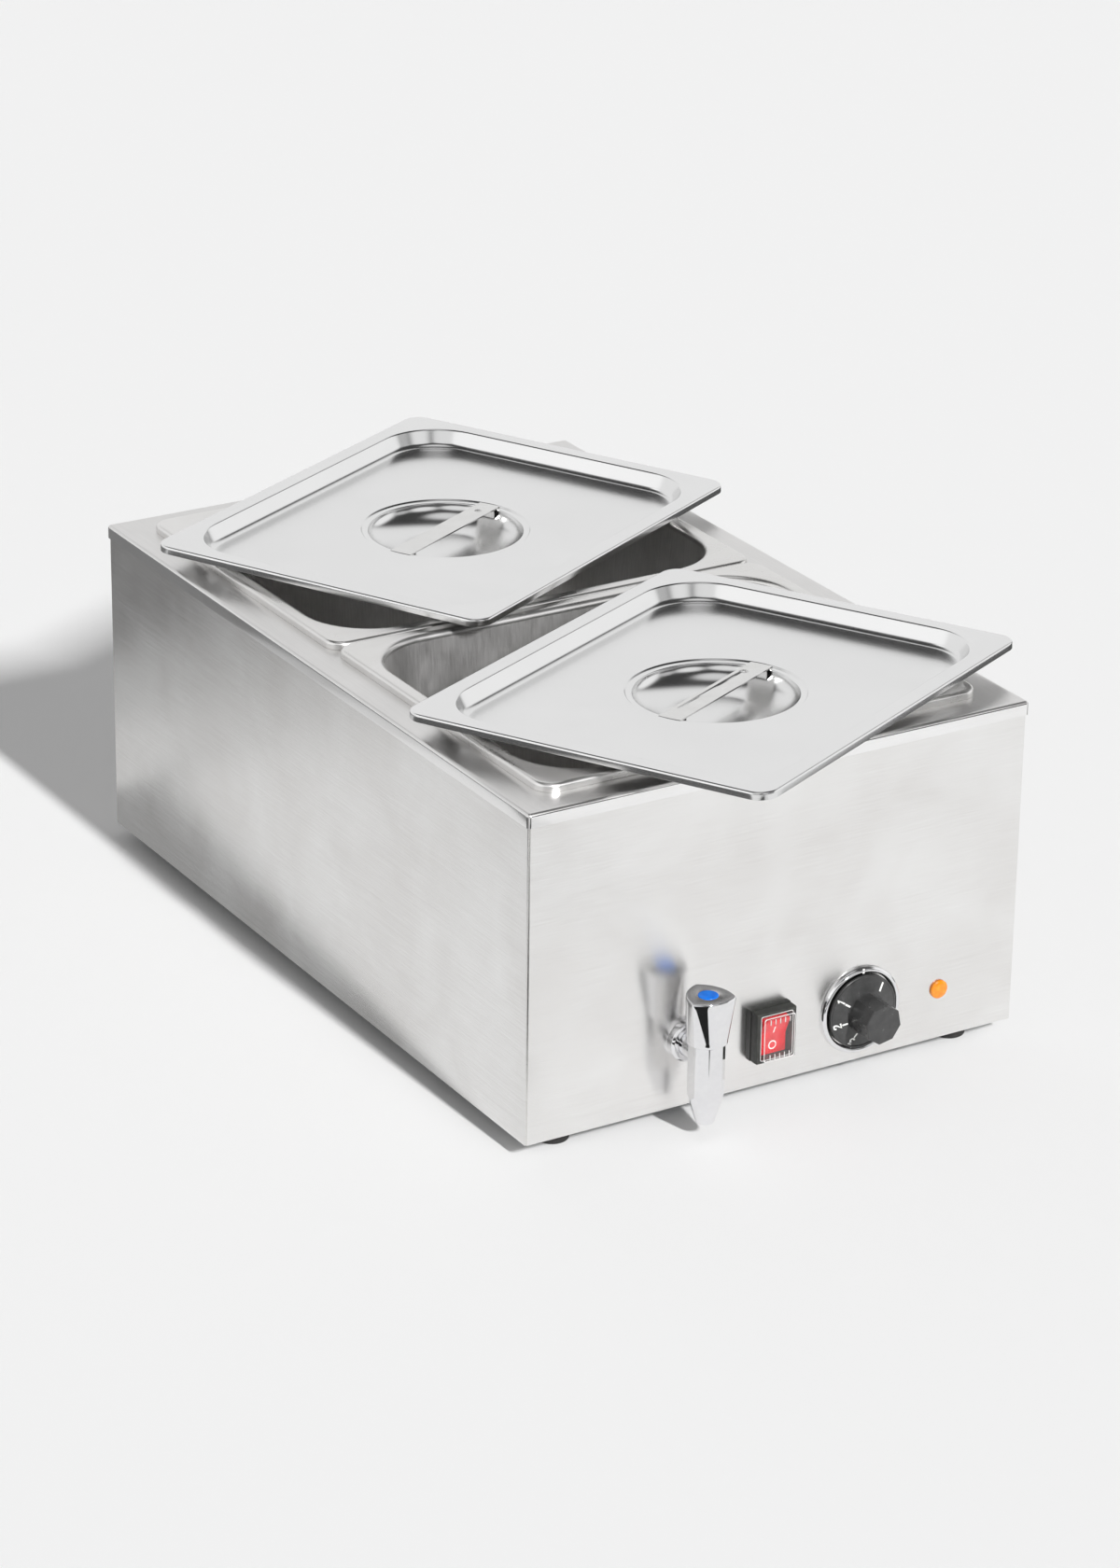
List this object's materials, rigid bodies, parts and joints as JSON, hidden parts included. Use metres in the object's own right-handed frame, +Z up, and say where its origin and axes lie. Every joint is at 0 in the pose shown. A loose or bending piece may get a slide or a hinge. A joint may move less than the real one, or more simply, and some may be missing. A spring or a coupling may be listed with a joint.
{
  "type": "electric chafing dish",
  "caption": "Brushed stainless electric wet-well food warmer with lift-out pans, loose pressed lids, a chrome drain tap, rocker switch, thermostat knob and pilot lamp.",
  "frame": {"origin": "on the worktop plane, under the middle of the casing", "axes": "+X to the right along the front panel, +Y to the rear, +Z up"},
  "size_m": [0.4015, 0.7163, 0.2608],
  "materials": {
    "casing_steel": "fine horizontal brushing",
    "plain_steel": "mill finish",
    "deck_steel": "satin",
    "tank_steel": "satin",
    "pan_steel": "pressed, satin",
    "lid_steel": "pressed, fine satin",
    "strap_steel": "bright rolled",
    "screw_steel": "zinc plated",
    "chrome": "polished plate",
    "brass": "machined",
    "copper": "drawn tube",
    "heater_sheath": "heat-tinted sheath",
    "black_plastic": "moulded, satin",
    "frame_plastic": "moulded",
    "red_plastic": "translucent, glossy",
    "clear_plastic": "clear moulded",
    "amber_plastic": "faceted lens",
    "blue_plastic": "glossy",
    "pale_ceramic": "unglazed",
    "lead_insulation": "silicone sleeve",
    "rubber": "moulded"
  },
  "bodies": {
    "base": {"casing_wrap": "casing_steel", "front_panel": "casing_steel", "base_plate": "plain_steel", "base_screws": "screw_steel", "deck": "deck_steel", "well_tank": "tank_steel", "drain_fitting": "brass", "drain_nut": "brass", "drain_pipe": "copper", "tap_body": "chrome", "tap_collar": "chrome", "tap_gasket": "rubber", "tap_lock_nut": "brass", "tap_gland_ring": "brass", "heater_element": "heater_sheath", "clamp_bars": "plain_steel", "clamp_studs": "screw_steel", "clamp_nuts": "screw_steel", "thermostat_body": "pale_ceramic", "thermostat_screws": "screw_steel", "capillary_bulb": "copper", "bulb_clip": "plain_steel", "thermal_cutout": "pale_ceramic", "dial_bezel": "chrome", "switch_housing": "black_plastic", "switch_terminals": "brass", "switch_frame": "frame_plastic", "switch_cover": "clear_plastic", "lamp_body": "pale_ceramic", "lamp_lens": "amber_plastic", "lamp_nut": "plain_steel", "terminal_block": "pale_ceramic", "terminal_screws": "brass", "wire_loom": "lead_insulation", "earth_stud": "brass", "cable_gland": "black_plastic", "gland_nut": "black_plastic", "feet": "rubber", "foot_screws": "screw_steel", "foot_nuts": "screw_steel"},
    "front_pan_body": {"front_pan": "pan_steel"},
    "rear_pan_body": {"rear_pan": "pan_steel"},
    "front_lid_body": {"front_lid": "lid_steel", "front_lid_handle": "strap_steel"},
    "rear_lid_body": {"rear_lid": "lid_steel", "rear_lid_handle": "strap_steel"},
    "tap_valve": {"tap_handle": "chrome", "tap_spindle": "brass", "tap_handle_screw": "screw_steel", "tap_index_cap": "blue_plastic"},
    "rocker": {"switch_rocker": "red_plastic"},
    "knob": {"control_knob": "black_plastic", "thermostat_shaft": "screw_steel"}
  },
  "joints": [
    {"name": "lift_front_pan", "type": "slide", "parent": "base", "child": "front_pan_body", "axis": [0, 0, 1], "range_m": [0, 0.2]},
    {"name": "lift_rear_pan", "type": "slide", "parent": "front_pan_body", "child": "rear_pan_body", "axis": [0, 0, 1], "range_m": [0, 0.2]},
    {"name": "lift_front_lid", "type": "slide", "parent": "front_pan_body", "child": "front_lid_body", "axis": [0, 0, 1], "range_m": [0, 0.12]},
    {"name": "lift_rear_lid", "type": "slide", "parent": "rear_pan_body", "child": "rear_lid_body", "axis": [0, 0, 1], "range_m": [0, 0.12]},
    {"name": "turn_tap", "type": "hinge", "parent": "base", "child": "tap_valve", "pos_m": [-0.0684, -0.3103, 0.08], "axis": [0, 0, 1], "range_deg": [0, 90]},
    {"name": "press_switch", "type": "hinge", "parent": "base", "child": "rocker", "pos_m": [-0.0063, -0.2824, 0.0495], "axis": [-1, 0, 0], "range_deg": [0, 22]},
    {"name": "turn_knob", "type": "hinge", "parent": "base", "child": "knob", "pos_m": [0.0633, -0.3, 0.0475], "axis": [0, 1, 0], "range_deg": [-40, 251]}
  ]
}
